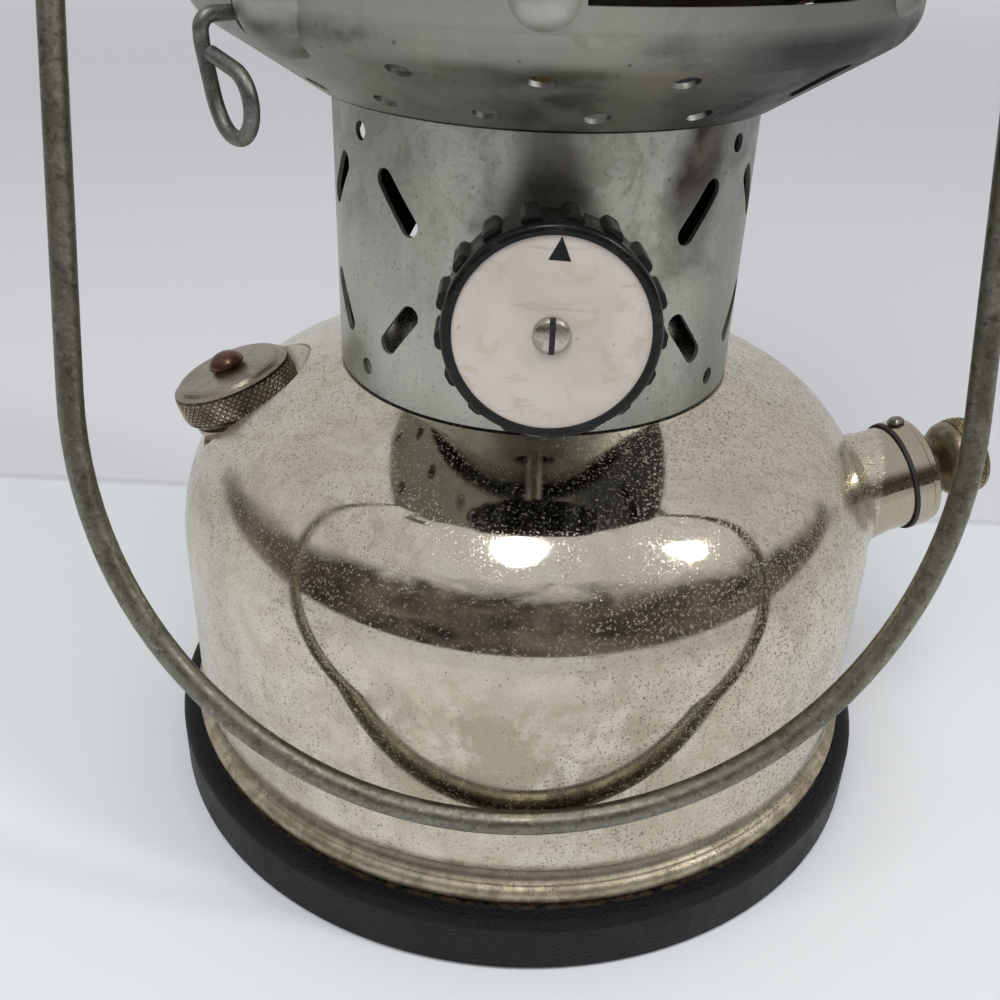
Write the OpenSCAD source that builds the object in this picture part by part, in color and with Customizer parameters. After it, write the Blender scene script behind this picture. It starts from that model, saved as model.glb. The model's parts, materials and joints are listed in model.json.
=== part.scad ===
// Double-mantle gasoline lantern in millimetres, +Z up.
// The origin lies on the resting plane, on the fount's axis.
// The valve knob faces -Y, the filler is at -X and the pump at +X.

/* [Fount] */
// Outside diameter of the fount's wall
tank_d = 165; // [158:1:172]
// Height of the fount's flat top, where the collar stands
seat_z = 105.1; // [102:0.1:110]
// Sheet thickness of the fount
tank_t = 1; // [0.8:0.1:1.2]
// Height of the rubber base ring
ring_h = 13.9; // [12:0.1:15]
// How far the base ring stands out past the fount's wall
ring_out = 5.8; // [4.5:0.1:7]

/* [Filler] */
// Diameter of the knurled filler cap
cap_d = 28; // [26:0.5:30]
// Height of the knurled skirt
cap_h = 8; // [7:0.5:9]
// Lean of the filler away from the upright
filler_tilt = 19.2; // [15:0.1:23]

/* [Pump] */
// Outside diameter of the pump's tube
pump_d = 25.2; // [23:0.1:26]
// Turn of the pump's axis towards the back
pump_turn = 12.6; // [8:0.1:16]
// Rise of the pump's axis
pump_tilt = 13; // [9:0.1:16]
// Length of the pump's stroke
stroke = 60; // [40:1:64]

/* [Collar and dish] */
// Outside diameter of the collar
collar_d = 88; // [84:0.5:90]
// Height of the collar
collar_h = 59.5; // [56:0.5:63]
// Length of the collar's slots over their round ends
slot_l = 14; // [11:0.5:15]
// Width of the collar's slots
slot_w = 4.3; // [3:0.1:5]
// Diameter of the dish's upright wall
dish_d = 141.2; // [137:0.2:146]
// Number of air holes in each row of the dish
hole_n = 18; // [14:1:19]
// Diameter of the dish's air holes
hole_d = 4.5; // [3.5:0.1:5.2]

/* [Valve knob] */
// Diameter over the knob's ribs
knob_d = 40.3; // [36:0.1:43]
// Depth of the knob
knob_t = 12; // [10:0.5:14]
// Number of ribs round the knob
rib_n = 17; // [10:1:20]
// Upward lean of the valve stem
knob_tilt = 3.7; // [0:0.1:6]

/* [Globe and ventilator] */
// Outside diameter of the glass globe
globe_d = 123; // [114:1:123]
// Height of the glass globe
globe_h = 118; // [112:1:124]
// Diameter of the ventilator's brim
hood_d = 144; // [132:1:146]

/* [Bail and lever] */
// Diameter of the bail's wire
bail_wire = 4.76; // [4:0.02:5]
// Half the distance between the bail's sides
bail_half = 82.5; // [80:0.5:88]
// Sideways shift of the bail in the play of its holes
bail_shift = -3.3; // [-3.3:0.1:3.3]
// Height of the bail's pivots above the dish's gallery
pivot_up = 99; // [94:1:104]
// Diameter of the cleaning lever's wire
lever_wire = 2.6; // [2:0.1:2.8]

/* [Hidden] */
$fn = 96;
eps = 0.01;
function dir(a) = [cos(a), sin(a)];

// Clearances
seat_gap = 0.05;
run_gap = 0.08;
free_gap = 0.35;
lap = 0.05;

// Fount
tank_r = tank_d / 2;
ring_r = tank_r + ring_out;
lip_h = 4;
lip_r = tank_r - 6.5;
skirt_r = tank_r - 0.2;
pan_r = tank_r - 2.8;
bead_z = 16.9;
groove_z = 21.8;
curl_r = 2.4;
curl_in = 0.8;
groove_out = 0.9;
wall_low = 27;
pan_z = 9;
pan_lip = 5;
bung_r = 9;
seat_r = collar_d / 2 + 0.6;
// The shoulder bends in two arcs from the wall to a cone under the collar
cone_a = 64.9;
low_bend_r = 0.46 * tank_r;
low_bend_a = 49;
top_bend_r = 25;
low_steps = 16;
top_steps = 6;
bend_step = (low_bend_r - top_bend_r) * dir(low_bend_a);
top_bend_x = tank_r - low_bend_r + bend_step[0];
top_bend_z = seat_z - (top_bend_r + (top_bend_x - seat_r) * cos(cone_a)) / sin(cone_a);
top_bend = [top_bend_x, top_bend_z];
low_bend = top_bend - bend_step;
seat_inset = (1 - sin(cone_a)) / cos(cone_a);

// Filler, whose own axis starts on the floor of the shoulder's pocket
filler_r = tank_r - 15.1;
filler_z = seat_z - 18;
pocket_r = cap_d / 2 + 2.5;
pocket_flare = 3;
pocket_h = 7;
neck_r = cap_d / 2 - 3.5;
neck_bore = neck_r - 2;
neck_top = 5.2;
cap_low = 2;
cap_top = cap_low + cap_h;
cap_bevel = 1.6;
cap_face = cap_top + cap_bevel;
gasket_t = 1;
insert_low = neck_top + gasket_t;
insert_t = 2.4;
insert_stem = 3;
screw_r = 4.25;

// Pump, whose own axis starts at the seam of its cap
pump_r = pump_d / 2;
pump_bore = pump_r - 1.2;
pump_along = tank_r + 4.26;
pump_offset = 21.2;
pump_z = seat_z - 30.4;
pump_neck_end = -9.6;
pump_neck_t = 0.8;
pump_flare = 4.5;
pump_ring_end = -7.2;
pump_ring_t = 0.4;
pump_in = -92;
pump_out = 4;
pump_cap_r = pump_r + 0.75;
pump_cap_l = 6.5;
rod_r = 3;
leather_low = -74;
pump_knob_r = 9.3;
pump_knob_low = 11.2;
pump_knob_top = 21.4;
pump_knob_neck = 4.2;
pump_knob_back = 4;
pump_knob_edge = 1.4;
pump_screw_turn = -10;

// Collar and dish
collar_r = collar_d / 2;
sheet_t = 0.9;
dish_z = seat_z + collar_h;
collar_mid = seat_z + collar_h / 2;
motif_turn = 54.4;
slot_turn = 13.9;
slot_up = 12.8;
slot_lean = 51;
pin_hole_d = 3.6;
pin_hole_up = 24.1;
dish_r = dish_d / 2;
dish_foot = collar_r + 3.6;
dish_slope = 33;
dish_bend = 7.2;
dish_bend_x = dish_r - dish_bend;
dish_bend_z = dish_z + (dish_bend + (dish_bend_x - dish_foot) * sin(dish_slope)) / cos(dish_slope);
foot_inset = (1 - cos(dish_slope)) / sin(dish_slope);
gallery_z = dish_z + 32.4;
gallery_r = dish_r - 15.6;
dish_turn = -3.3;
high_row_r = dish_r - 5.4;
low_row_r = dish_foot + 5.6;
lug_turns = [0, 57, 123, 180, 237];
lug_r = 6.1;
lug_out = 3;
lug_z = dish_z + 24.4;
lever_turn = -45;
boss_turn = lever_turn + 6;
boss_out = 3.6;
boss_wide = 10;
boss_z = dish_z + 20.5;
window_low = dish_z + 22.9;
window_high = gallery_z - 3;
// Windows, each from its square end to its rounded end
windows = [[5, 48], [175, 132], [185, 228]];
window_round = 7;
lighting_turn = 50;
lighting_r = dish_foot + 12.5;
lighting_l = 15;
lighting_w = 5.5;
// Bearings where no air hole is punched, each with its clear width
hole_free = [[lighting_turn, 12], [boss_turn, 8]];

// Valve
valve_z = seat_z + 26;
column_r = 8;
column_neck = 6.5;
column_top = dish_z + 8;
gland_r = 7.5;
gland_end = 26;
nut_end = 34;
stem_r = 2.5;
stem_tip = 9;
knob_face = 66.5;
knob_back = knob_face - knob_t;
knob_r = knob_d / 2;
rib_out = 1.25;
rib_shift = 0.585;
bezel_r = knob_r - 1.1;
bezel_edge = 1.2;
valley_r = knob_r - rib_out;
disc_r = bezel_r - 2;
disc_t = 0.7;
disc_sink = 0.4;

// Burner
generator_r = 4;
generator_top = gallery_z + 72;
block_low = column_top;
block_top = dish_z + 23;
block_r = 7;
lever_z = dish_z + 17.4;
lever_reach = dish_r + 6.9;
lever_end = 2.2;
head_z = gallery_z + 78;
head_r = 8;
spout_x = 23;
spout_r = 7;
spout_low = head_z - 17;
air_y = 21.5;
air_r = 7;
burner_r = 9;
burner_low = spout_low - 14;
burner_groove = burner_low + 5;
mantle_r = 17;
mantle_low = gallery_z + 8;
mantle_t = 0.8;

// Globe, ventilator and bail
globe_z = gallery_z;
globe_top = globe_z + globe_h;
globe_r = globe_d / 2;
globe_t = 2.6;
hood_r = hood_d / 2;
hood_rise = 25;
hood_brim_z = globe_top + 11;
hood_top = hood_brim_z + hood_rise;
hood_ball = (hood_r * hood_r + hood_rise * hood_rise) / (2 * hood_rise);
hood_c = hood_top - hood_ball;
hood_bead = 1.3;
band_r = globe_r - globe_t - 0.8;
band_low = globe_top - 6;
band_top = hood_c + sqrt(pow(hood_ball - sheet_t, 2) - band_r * band_r) - seat_gap;
band_slots = 16;
band_slot_w = 6;
band_bridge = 3.4;
stud_r = 2.5;
stud_top = hood_top + 14;
ball_r = 8;
post_w = 11;
post_t = 1.8;
post_gap = 8.5;
post_r = max(dish_r, globe_r + post_gap);
post_low = dish_bend_z + 0.6;
post_foot = 7;
pivot_z = gallery_z + pivot_up;
post_top = pivot_z + 6;
wire_r = bail_wire / 2;
bail_low_y = tank_r + wire_r + free_gap;
bail_low_z = 40.6;
bail_swing = atan2(bail_low_y, pivot_z - bail_low_z);
bail_len = norm([bail_low_y, pivot_z - bail_low_z]);
bail_elbow = 6;
bail_head_t = 1.2;
bail_head_r = wire_r + 1;
bail_in = post_r - 3.7;
wire_lever_r = lever_wire / 2;

// Points along a cubic curve
function curve(p0, p1, p2, p3, n) = [for (k = [0 : n]) let (t = k / n)
    pow(1 - t, 3) * p0 + 3 * t * pow(1 - t, 2) * p1 + 3 * t * t * (1 - t) * p2 + pow(t, 3) * p3];
function reverse(list) = [for (k = [len(list) - 1 : -1 : 0]) list[k]];
// Angle between two bearings
function apart(a, b) = abs((a - b + 540) % 360 - 180);

module filler_frame() {
    translate([-filler_r, 0, filler_z])
        rotate([0, -filler_tilt, 0])
            children();
}
module pump_frame() {
    rotate([0, 0, pump_turn])
        translate([pump_along, -pump_offset, pump_z])
            rotate([0, 90 - pump_tilt, 0])
                children();
}
module knob_frame() {
    translate([0, 0, valve_z])
        rotate([90 - knob_tilt, 0, 0])
            children();
}
// Turns to a bearing counted from the front towards the right, at a radius and a height
module bearing(turn, r, z) {
    rotate([0, 0, turn - 90])
        translate([r, 0, z])
            children();
}
module rod(r, z0, z1) {
    translate([0, 0, z0])
        cylinder(r = r, h = z1 - z0);
}
module pipe(r, bore, z0, z1) {
    difference() {
        rod(r, z0, z1);
        rod(bore, z0 - 1, z1 + 1);
    }
}
module hex(flats, z0, z1) {
    translate([0, 0, z0])
        cylinder(d = flats / cos(30), h = z1 - z0, $fn = 6);
}
module turned(points) {
    rotate_extrude()
        polygon(points);
}
// Slice of a disc between two angles
module slice(c, r, from, to) {
    translate(c)
        intersection() {
            circle(r = r);
            polygon([[0, 0], 2 * r * dir(from), 2 * r * dir(to)]);
        }
}

// Rubber ring that the fount stands in
module base_ring() {
    edge = 2;
    seat = tank_r - 0.1;
    color("#1c1c1c")
        rotate_extrude() {
            polygon([[lip_r, 0], [ring_r - 1, 0], [ring_r, 1], [ring_r, ring_h - edge], [ring_r - edge, ring_h],
                [seat, ring_h], [seat, lip_h], [lip_r, lip_h]]);
            slice([ring_r - edge, ring_h - edge], edge, 0, 90);
        }
}

// Bottom pan, seamed into the shell's skirt
module fount_bottom() {
    rim = pan_r - seat_gap;
    color("#b9b4a6")
        turned([[0, pan_z], [rim, pan_z], [rim, pan_z + pan_lip], [rim - tank_t, pan_z + pan_lip],
            [rim - tank_t, pan_z + tank_t], [0, pan_z + tank_t]]);
}

// Half section of the fount above a height, set in by a depth
module fount_area(low, i) {
    wall = tank_r - i;
    low_arc = [for (k = [0:low_steps]) low_bend + (low_bend_r - i) * dir(low_bend_a * k / low_steps)];
    top_arc = [for (k = [1:top_steps])
        top_bend + (top_bend_r - i) * dir(low_bend_a + (cone_a - low_bend_a) * k / top_steps)];
    seat = [[seat_r - i * seat_inset, seat_z - i], [0, seat_z - i]];
    polygon(concat([[0, low], [wall, low]], low_arc, top_arc, seat));
}
module fount_outside() {
    difference() {
        union() {
            fount_area(bead_z, 0);
            translate([0, lip_h])
                square([skirt_r, bead_z - lip_h + eps]);
            translate([tank_r - curl_in, bead_z])
                circle(r = curl_r);
        }
        translate([tank_r + groove_out, groove_z])
            circle(r = curl_r);
    }
}
module fount_inside() {
    fount_area(wall_low, tank_t);
    polygon([[0, lip_h - 1], [pan_r, lip_h - 1], [pan_r, wall_low - 2], [tank_r - tank_t, wall_low],
        [tank_r - tank_t - 5, wall_low + 5], [0, wall_low + 5]]);
}

// Sloped pocket pressed into the shoulder for the filler
module pocket(grow) {
    filler_frame() {
        translate([0, 0, -grow])
            cylinder(r1 = pocket_r + grow, r2 = pocket_r + pocket_flare + grow, h = pocket_h + grow);
        rod(pocket_r + pocket_flare + grow, pocket_h - eps, 40);
    }
}

// Neck that flares out of the fount's wall round the pump's tube
module pump_neck() {
    neck = pump_r + pump_neck_t;
    flare_end = pump_neck_end - 1.4;
    pump_frame() {
        translate([0, 0, flare_end - pump_flare])
            cylinder(r1 = neck + pump_flare, r2 = neck, h = pump_flare);
        rod(neck, flare_end - pump_flare, pump_neck_end);
        rod(pump_r + pump_ring_t, flare_end, pump_ring_end);
    }
}

// Drawn shell with its shoulder, pocket, pump neck, groove and bead
module fount_shell() {
    color("#c2bdb0")
        difference() {
            union() {
                rotate_extrude()
                    fount_outside();
                pump_neck();
            }
            difference() {
                rotate_extrude()
                    fount_inside();
                pocket(tank_t);
            }
            pocket(0);
            filler_frame()
                rod(neck_r + seat_gap, -5, 5);
            pump_frame()
                rod(pump_r + seat_gap, -40, 1);
            rod(bung_r, seat_z - 5, seat_z + 1);
        }
}

// Filler neck soldered into the pocket's floor
module filler_neck() {
    color("#b8b2a2")
        filler_frame()
            difference() {
                union() {
                    rod(neck_r, -5, neck_top);
                    rod(neck_r + 2, 0, 1.2);
                }
                rod(neck_bore, -6, neck_top + 1);
            }
}

// Outer shell of the filler cap, which turns on its insert
module filler_cap() {
    r = cap_d / 2;
    color("#8d8370")
        filler_frame()
            turned([[neck_r + free_gap, cap_low], [r - 1.2, cap_low], [r, cap_low + 1.2], [r, cap_top],
                [r - 0.9, cap_top + 0.5], [r - 1.6, cap_face - 0.4], [r - 2.4, cap_face],
                [insert_stem + run_gap, cap_face], [insert_stem + run_gap, cap_face - 2.3],
                [neck_r + free_gap, cap_face - 2.3]]);
}

// Insert that presses the gasket on the neck without turning
module filler_insert() {
    color("#a8986a")
        filler_frame()
            difference() {
                union() {
                    rod(neck_r - 0.3, insert_low, insert_low + insert_t);
                    rod(insert_stem, insert_low, cap_face + 0.3);
                }
                rod(1.6 + seat_gap, cap_face - 3, cap_face + 1);
            }
}

module filler_gasket() {
    color("#2a2623")
        filler_frame()
            pipe(neck_r - 0.3, neck_bore - 1, neck_top, insert_low);
}

// Domed vent screw on top of the cap
module filler_screw() {
    head = cap_face + 0.3;
    dome = 2.9;
    color("#5a352a")
        filler_frame() {
            rod(1.6, cap_face - 3, head + eps);
            turned(concat([[0, head], [screw_r - 0.6, head], [screw_r, head + 0.6]],
                [for (a = [8 : 8 : 80]) [screw_r * cos(a), head + 0.6 + dome * sin(a)]],
                [[0, head + 0.6 + dome]]));
        }
}

module pump_tube() {
    color("#c2bdb0")
        pump_frame()
            pipe(pump_r, pump_bore, pump_in, pump_out);
}

// Dark seal between the tube and its cap
module pump_seal() {
    color("#141211")
        pump_frame()
            pipe(pump_cap_r - 0.1, pump_r + seat_gap, -0.4, 0.4);
}

module pump_cap() {
    plate = pump_out + 0.1;
    color("#c4bfb3")
        pump_frame()
            turned([[rod_r + run_gap, plate], [pump_r + seat_gap, plate], [pump_r + seat_gap, 0.4],
                [pump_cap_r, 0.4], [pump_cap_r, pump_cap_l - 2.4], [pump_cap_r - 0.6, pump_cap_l - 1.8],
                [pump_cap_r - 0.6, pump_cap_l - 0.6], [pump_cap_r - 1.3, pump_cap_l],
                [rod_r + 3.5, pump_cap_l], [rod_r + 2.6, pump_cap_l + 1.4],
                [rod_r + run_gap, pump_cap_l + 1.4]]);
}

// Two screws that hold the cap on the tube
module pump_cap_screws() {
    color("#6a675f")
        pump_frame()
            for (turn = [0, 180])
                rotate([0, 0, pump_screw_turn + turn])
                    translate([-pump_cap_r - 0.05, 0, 2.6])
                        rotate([0, -90, 0])
                            turned([[0, 0], [2, 0], [2, 0.6], [1.4, 1.2], [0, 1.4]]);
}

// Check valve at the inner end of the pump's tube
module check_valve() {
    color("#a8986a")
        pump_frame() {
            rod(pump_bore - seat_gap, pump_in, pump_in + 6);
            hex(10, pump_in - 5, pump_in + eps);
        }
}

module plunger_rod() {
    color("#a39d8e")
        pump_frame()
            rod(rod_r, leather_low, pump_knob_low + 6);
}

// Leather cup on the plunger, open towards the check valve
module pump_leather() {
    cup = pump_bore - run_gap;
    color("#6b4a2e")
        pump_frame()
            turned([[rod_r + seat_gap, leather_low + 7], [rod_r + seat_gap, leather_low + 10],
                [cup - 2, leather_low + 10], [cup, leather_low + 8], [cup, leather_low], [cup - 1.6, leather_low],
                [cup - 1.6, leather_low + 7]]);
}

// Plunger knob with a rounded back and a knurled rim
module pump_knob() {
    back = [pump_knob_r - pump_knob_back, pump_knob_low + pump_knob_back + 0.8];
    edge = [pump_knob_r - pump_knob_edge, pump_knob_top - pump_knob_edge];
    hole = pump_knob_low + 6 + seat_gap;
    color("#6d5a44")
        pump_frame()
            rotate_extrude() {
                polygon([[rod_r + seat_gap, pump_knob_low], [pump_knob_neck, pump_knob_low],
                    back + pump_knob_back * dir(-80), back + [pump_knob_back, 0], edge + [pump_knob_edge, 0],
                    edge + pump_knob_edge * dir(80), [0, pump_knob_top + 0.4], [0, hole], [rod_r + seat_gap, hole]]);
                slice(back, pump_knob_back, -80, 0);
                slice(edge, pump_knob_edge, 0, 80);
            }
}

// Pickup tube from the valve to the bottom of the fount
module fuel_tube() {
    color("#a8986a")
        pipe(3.2, 2.2, 16, seat_z - 10);
}

// Valve column that clamps the collar and the dish on the fount
module valve_body() {
    color("#a8986a")
        difference() {
            union() {
                rod(bung_r - seat_gap, seat_z - 10, seat_z);
                hex(22, seat_z, seat_z + 6);
                rod(column_r, seat_z, dish_z);
                rod(column_neck, dish_z - eps, column_top);
                knob_frame()
                    rod(gland_r, 0, gland_end);
            }
            knob_frame()
                rod(stem_r + run_gap, stem_tip - 3, gland_end + 1);
            rod(2.2, seat_z - 11, valve_z - 6);
            rod(1.5, valve_z + 6, column_top + 1);
        }
}

module packing_nut() {
    color("#a8986a")
        knob_frame()
            difference() {
                union() {
                    hex(14, gland_end, nut_end - 2);
                    rod(5.5, gland_end, nut_end);
                }
                rod(stem_r + run_gap, gland_end - 1, nut_end + 1);
            }
}

module valve_stem() {
    color("#b0aca0")
        knob_frame()
            difference() {
                union() {
                    rod(stem_r, stem_tip, knob_face - 2.5);
                    translate([0, 0, stem_tip - 2])
                        cylinder(r1 = 0.8, r2 = stem_r, h = 2 + eps);
                }
                rod(1.4 + seat_gap, knob_face - 9, knob_face);
            }
}

// Ribbed valve knob, hollow at the back, with a plain front ring round its disc
module valve_knob() {
    hub = 6;
    rim = 2.4;
    grip = knob_t - 3;
    web = knob_face - 4.6;
    floor_z = knob_face - disc_t - disc_sink;
    color("#161616")
        knob_frame()
            difference() {
                union() {
                    translate([0, 0, knob_back])
                        linear_extrude(height = grip)
                            knob_outline();
                    rotate_extrude() {
                        polygon([[0, web - 0.5], [valley_r - 0.3, web - 0.5], [valley_r - 0.3, knob_face - 3.4],
                            [bezel_r, knob_face - 2.8], [bezel_r, knob_face - bezel_edge],
                            [bezel_r - bezel_edge, knob_face], [0, knob_face]]);
                        slice([bezel_r - bezel_edge, knob_face - bezel_edge], bezel_edge, 0, 90);
                    }
                }
                pipe(valley_r - rim, hub, knob_back - 1, web);
                rod(disc_r + seat_gap, floor_z, knob_face + 1);
                rod(stem_r + seat_gap, knob_back - 1, knob_face + 1);
            }
}
module knob_outline() {
    circle(r = valley_r);
    for (k = [0 : rib_n - 1])
        rotate(90 + (k + rib_shift) * 360 / rib_n)
            polygon([[valley_r - 0.6, -2.1], [knob_r - 0.35, -1.5], [knob_r, -0.9],
                [knob_r, 0.9], [knob_r - 0.35, 1.5], [valley_r - 0.6, 2.1]]);
}

// Plain printed disc in the knob's front
module direction_disc() {
    top = knob_face - disc_sink;
    color("#d9cfc4")
        knob_frame()
            pipe(disc_r, 1.5 + seat_gap, top - disc_t, top);
}

module knob_screw() {
    head = knob_face - disc_sink;
    r = 3.3;
    color("#9b968a")
        knob_frame()
            difference() {
                union() {
                    rod(1.4, knob_face - 8, head + eps);
                    turned(concat([[0, head], [r, head], [r, head + 0.5]],
                        [for (a = [12 : 12 : 84]) [r * cos(a), head + 0.5 + 1.4 * sin(a)]],
                        [[0, head + 1.9]]));
                }
                translate([-0.5, -r - 1, head + 0.9])
                    cube([1, 2 * r + 2, 3]);
            }
}

// Round-ended slot, drawn flat
module slot_outline(l, w) {
    square([l - w, w], center = true);
    for (side = [-1, 1])
        translate([side * (l - w) / 2, 0])
            circle(d = w, $fn = 32);
}
// Cuts an outline outwards through a wall at a bearing
module wall_cut(turn, r, z, depth) {
    bearing(turn, r - depth / 2, z)
        rotate([90, 0, 90])
            linear_extrude(height = depth)
                children();
}

// Sheet collar with a diamond of slots and holes in each quarter
module collar() {
    color("#8f9694")
        difference() {
            pipe(collar_r, collar_r - sheet_t, seat_z, dish_z);
            for (motif = [motif_turn, 180 - motif_turn, 180 + motif_turn, -motif_turn], up = [-1, 1]) {
                wall_cut(motif, collar_r, collar_mid + up * pin_hole_up, 6)
                    circle(d = pin_hole_d, $fn = 32);
                for (side = [-1, 1])
                    wall_cut(motif + side * slot_turn, collar_r, collar_mid + up * slot_up, 8)
                        rotate(-up * side * slot_lean)
                            slot_outline(slot_l, slot_w);
            }
            knob_frame()
                rod(6.5, collar_r - 12, collar_r + 12);
        }
}

// Pressed lug that bulges out of the dish's wall
module lug(turn, r, out, low, grow) {
    bearing(dish_turn + turn, dish_r + out - r, 0) {
        rod(r - grow, low, gallery_z - sheet_t - 0.3 - grow);
        translate([0, 0, low])
            sphere(r = r - grow);
    }
}
module lugs(grow) {
    for (turn = lug_turns)
        lug(turn, lug_r, lug_out, lug_z, grow);
    lug(boss_turn, boss_wide, boss_out, boss_z, grow);
}
// Part of a ring between two bearings
module sector(from, to, r0, r1, z0, z1) {
    rotate([0, 0, from - 90])
        translate([0, 0, z0])
            rotate_extrude(angle = to - from)
                translate([r0, 0])
                    square([r1 - r0, z1 - z0]);
}

// Half section of the dish up to a height, set in by a depth
module dish_area(high, i) {
    bend = [dish_bend_x, dish_bend_z];
    wall = dish_r - i;
    polygon([[0, dish_z + i], [dish_foot - i * foot_inset, dish_z + i],
        bend + (dish_bend - i) * dir(dish_slope - 90), [wall, dish_bend_z], [wall, high], [0, high]]);
    slice(bend, dish_bend - i, dish_slope - 90, 0);
}
// Punches an outline through the dish's cone at a bearing and a radius
module cone_cut(turn, r) {
    bearing(dish_turn + turn, r, dish_z + (r - dish_foot) * tan(dish_slope))
        rotate([0, -dish_slope, 0])
            linear_extrude(height = 5, center = true)
                children();
}
module dish_holes() {
    for (row = [[high_row_r, 0], [low_row_r, 0.5]], k = [0 : hole_n - 1]) {
        turn = (k + row[1]) * 360 / hole_n;
        if (min([for (f = hole_free) apart(turn, f[0]) - f[1]]) > 0)
            cone_cut(turn, row[0])
                circle(d = hole_d, $fn = 32);
    }
}
module dish_windows() {
    span = window_round / dish_r * 180 / PI;
    for (w = windows) {
        round_at = w[1] - sign(w[1] - w[0]) * span;
        sector(dish_turn + min(w[0], round_at), dish_turn + max(w[0], round_at), dish_r - 2, dish_r + 1,
            window_low, window_high);
        intersection() {
            wall_cut(dish_turn + round_at, dish_r, window_low + window_round, 12)
                circle(r = window_round);
            pipe(dish_r + 3, dish_r - 5, window_low - 1, window_high);
        }
    }
}

// Burner dish with air holes, an upright wall with lugs and windows, and a gallery for the globe
module dish() {
    color("#7d7f78")
        difference() {
            union() {
                rotate_extrude()
                    difference() {
                        dish_area(gallery_z, 0);
                        dish_area(gallery_z - sheet_t, sheet_t);
                        translate([0, gallery_z - 2])
                            square([gallery_r, 4]);
                    }
                difference() {
                    lugs(0);
                    rotate_extrude()
                        dish_area(gallery_z, sheet_t / 2);
                }
            }
            intersection() {
                lugs(sheet_t);
                pipe(dish_r + 10, dish_r - 4, dish_bend_z, gallery_z - sheet_t - 0.3);
            }
            dish_holes();
            dish_windows();
            wall_cut(dish_turn + lever_turn, dish_r, lever_z, 12)
                slot_outline_up(lever_wire + 1.2, 9);
            cone_cut(lighting_turn, lighting_r)
                slot_outline(lighting_l, lighting_w);
            rod(column_neck + seat_gap, dish_z - 1, dish_z + 3);
            translate([0, air_y, dish_z - 1])
                cylinder(r = air_r - 1.5, h = 4);
        }
}
module slot_outline_up(w, l) {
    rotate(90)
        slot_outline(l, w);
}

module dish_nut() {
    color("#9a8f6e")
        difference() {
            hex(20, dish_z + sheet_t, dish_z + 5.5);
            rod(column_neck + seat_gap, dish_z, dish_z + 6);
        }
}

// Air tube that carries the mixing head on the dish
module air_tube() {
    color("#8b8c86")
        translate([0, air_y, 0])
            difference() {
                union() {
                    rod(air_r, dish_z + sheet_t, head_z - 12);
                    rod(air_r + 3.5, dish_z + sheet_t, dish_z + sheet_t + 1.6);
                }
                rod(air_r - 1, dish_z, head_z);
            }
}

module cleaner_block() {
    color("#a8986a")
        difference() {
            rod(block_r, block_low, block_top);
            bearing(dish_turn + lever_turn, 0, lever_z)
                rotate([0, 90, 0])
                    rod(wire_lever_r + run_gap, lever_end - 0.4, block_r + 1);
            rod(1.2, block_low - 1, block_top + 1);
        }
}

module generator_nut() {
    color("#a8986a")
        difference() {
            hex(13, block_top, block_top + 6);
            rod(generator_r + seat_gap, block_top - 1, block_top + 7);
        }
}

module generator() {
    color("#9c7a4a")
        difference() {
            union() {
                rod(generator_r, block_top, generator_top - 6);
                translate([0, 0, generator_top - 6 - eps])
                    cylinder(r1 = generator_r, r2 = 2, h = 4);
                rod(2, generator_top - 3, generator_top);
            }
            rod(1.2, block_top - 1, generator_top + 1);
        }
}

// Wire lever whose loop hangs outside the dish and turns the cleaner
module cleaning_lever() {
    w = wire_lever_r;
    bend = 2.4;
    color("#4a4a48")
        bearing(dish_turn + lever_turn, 0, lever_z) {
            rotate([0, 90, 0])
                rod(w - lap / 5, lever_end, lever_reach - bend + lap);
            translate([lever_reach - bend, 0, -bend])
                rotate([90, 0, 0])
                    rotate_extrude(angle = 90, $fn = 48)
                        translate([bend, 0])
                            circle(r = w, $fn = 24);
            translate([lever_reach, 0, 0])
                rotate([90, 0, 90])
                    translate([0, -bend])
                        rotate(-90)
                            wire_run(w, [[0, 0.6], [8, 17], [0, 6.6], [10.3, 19], [0, 0.7], [5.4, 222.5], [0, 6.9]]);
        }
}
// Wire that runs on through a list of straights [0, length] and left bends [radius, turn]
module wire_run(w, moves, k = 0) {
    if (k < len(moves)) {
        r = moves[k][0];
        run = moves[k][1];
        if (r == 0) {
            wire_between([-lap, 0], [run + lap, 0], w - lap / 5);
            translate([run, 0])
                wire_run(w, moves, k + 1);
        } else {
            wire_arc([0, r], r, -90, run - 90, w);
            translate([0, r])
                rotate(run)
                    translate([0, -r])
                        wire_run(w, moves, k + 1);
        }
    }
}
module wire_between(a, b, w) {
    d = b - a;
    translate(a)
        rotate([0, 0, atan2(d[1], d[0])])
            rotate([0, 90, 0])
                cylinder(r = w, h = norm(d), $fn = 24);
}
module wire_arc(c, r, from, to, w) {
    translate(c)
        rotate([0, 0, from])
            rotate_extrude(angle = to - from, $fn = 64)
                translate([r, 0])
                    circle(r = w, $fn = 24);
}

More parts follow.
